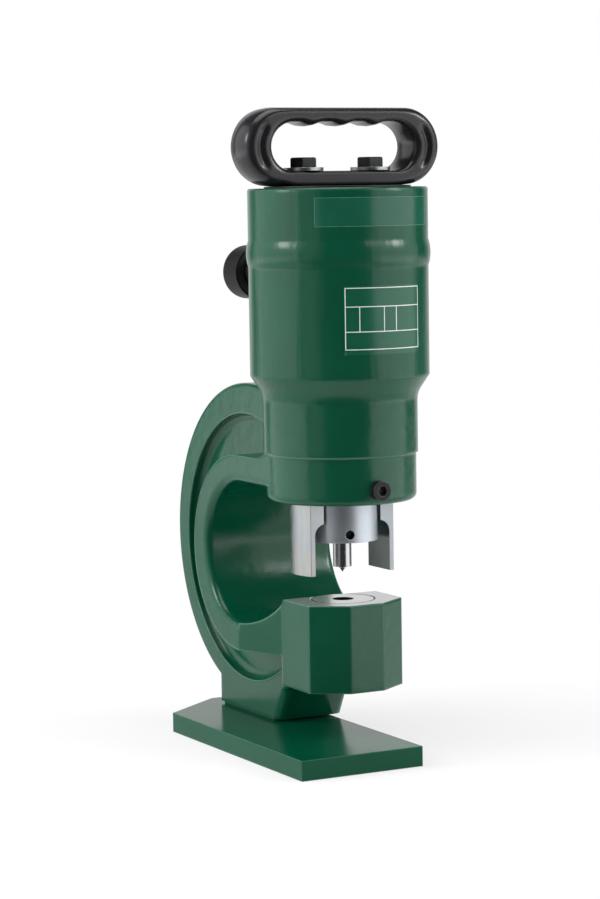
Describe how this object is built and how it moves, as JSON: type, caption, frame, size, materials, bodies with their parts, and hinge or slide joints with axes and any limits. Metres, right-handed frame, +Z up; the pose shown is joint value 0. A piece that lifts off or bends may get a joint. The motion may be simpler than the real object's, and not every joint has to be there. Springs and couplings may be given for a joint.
{
  "type": "hydraulic hole punch",
  "caption": "Portable hydraulic hole punch: a cast C-frame on a base plate with an upright spring-return cylinder, carrying handle, hose coupler, stripper, punch and die.",
  "frame": {"origin": "where the punch axis meets the underside of the base plate", "axes": "+Z up along the punch axis, -Y towards the open front of the throat, +Y towards the hose coupler"},
  "size_m": [0.133, 0.248, 0.3887],
  "materials": {
    "green_enamel": "glossy enamel over cast steel",
    "black_steel": "black oxide",
    "black_plastic": "moulded, satin gloss",
    "black_rubber": "moulded rubber",
    "seal_polyurethane": "moulded polyurethane",
    "bronze": "machined bronze",
    "ground_steel": "turned and ground",
    "zinc_plate": "bright zinc plate"
  },
  "bodies": {
    "frame": {"c_frame": "green_enamel", "base_plate": "green_enamel", "base_screws": "black_steel", "cylinder_barrel": "green_enamel", "cylinder_cap": "black_steel", "cap_o_ring": "black_rubber", "carry_handle": "black_plastic", "handle_bolts": "black_steel", "handle_washers": "zinc_plate", "guide_bush": "bronze", "rod_wiper": "seal_polyurethane", "spring_seat": "ground_steel", "return_spring": "ground_steel", "stripper": "zinc_plate", "stripper_screw": "black_steel", "die": "ground_steel", "die_set_screw": "black_steel", "coupler_body": "zinc_plate", "coupler_washer": "bronze", "coupler_spring": "ground_steel"},
    "ram": {"ram": "ground_steel", "piston_seal": "seal_polyurethane", "piston_wear_ring": "bronze", "punch": "ground_steel", "punch_nut": "ground_steel"},
    "poppet": {"coupler_poppet": "ground_steel"},
    "cap": {"dust_cap": "black_rubber"}
  },
  "joints": [
    {"name": "ram_slide", "type": "slide", "parent": "frame", "child": "ram", "axis": [0, 0, -1], "range_m": [0, 0.022], "stiffness_N_per_m": 12000, "springref_m": -0.02, "deforming": ["return_spring"]},
    {"name": "poppet_slide", "type": "slide", "parent": "frame", "child": "poppet", "axis": [0, -1, 0], "range_m": [0, 0.003], "stiffness_N_per_m": 1500, "springref_m": -0.004, "deforming": ["coupler_spring"]},
    {"name": "dust_cap_pull", "type": "slide", "parent": "frame", "child": "cap", "axis": [0, 1, 0], "range_m": [0, 0.03]}
  ]
}
